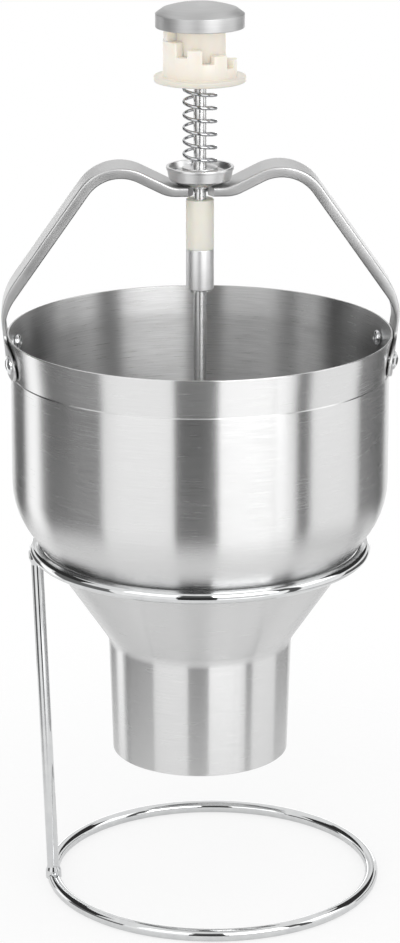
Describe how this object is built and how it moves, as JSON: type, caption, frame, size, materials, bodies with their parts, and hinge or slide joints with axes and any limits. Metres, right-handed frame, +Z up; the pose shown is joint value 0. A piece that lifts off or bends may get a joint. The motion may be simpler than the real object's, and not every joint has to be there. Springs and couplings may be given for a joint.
{
  "type": "batter dispenser",
  "caption": "Hand batter dispenser: steel funnel hopper with a riveted bow handle and a sprung, dosed plunger, in a wire ring stand.",
  "frame": {"origin": "on the table under the hopper's axis, centre of the bounding box's bottom", "axes": "+Z up along the plunger, X along the bow handle, -Y towards the slot's open side"},
  "size_m": [0.199, 0.194, 0.4619],
  "materials": {
    "chrome_wire": "polished",
    "stainless_sheet": "brushed",
    "cast_aluminium": "satin",
    "rivet_metal": "polished",
    "spring_steel": "polished",
    "rod_steel": "polished",
    "cream_plastic": "satin",
    "cap_metal": "satin",
    "seal_silicone": "matte"
  },
  "bodies": {
    "stand": {"stand_base_ring": "chrome_wire", "stand_top_ring": "chrome_wire", "stand_upright": "chrome_wire"},
    "hopper": {"hopper_bowl": "stainless_sheet", "outlet_funnel": "stainless_sheet", "handle": "cast_aluminium", "handle_rivets": "rivet_metal", "spring_cup": "cast_aluminium", "return_spring": "spring_steel"},
    "plunger": {"plunger_rod": "rod_steel", "stop_sleeve": "cream_plastic", "spacer_tube": "rod_steel", "rod_clip": "rod_steel", "shut_off_disc": "rod_steel", "disc_seal": "seal_silicone", "end_nut": "rod_steel", "piston_spacer": "rod_steel", "metering_piston": "rod_steel", "piston_lock_nut": "rod_steel", "knob_core": "cream_plastic", "knob_nut": "rod_steel", "knob_cap": "cap_metal"},
    "dial": {"dose_dial": "cream_plastic"}
  },
  "joints": [
    {"name": "hopper_lift", "type": "slide", "parent": "stand", "child": "hopper", "axis": [0, 0, 1], "range_m": [0, 0.25]},
    {"name": "plunger_press", "type": "slide", "parent": "hopper", "child": "plunger", "axis": [0, 0, -1], "range_m": [-0.003, 0.028], "stiffness_N_per_m": 1500, "springref_m": -0.00325, "deforming": ["return_spring"]},
    {"name": "dial_turn", "type": "hinge", "parent": "plunger", "child": "dial", "pos_m": [0, 0, 0.4228], "axis": [0, 0, -1], "range_deg": [0, 172]}
  ]
}
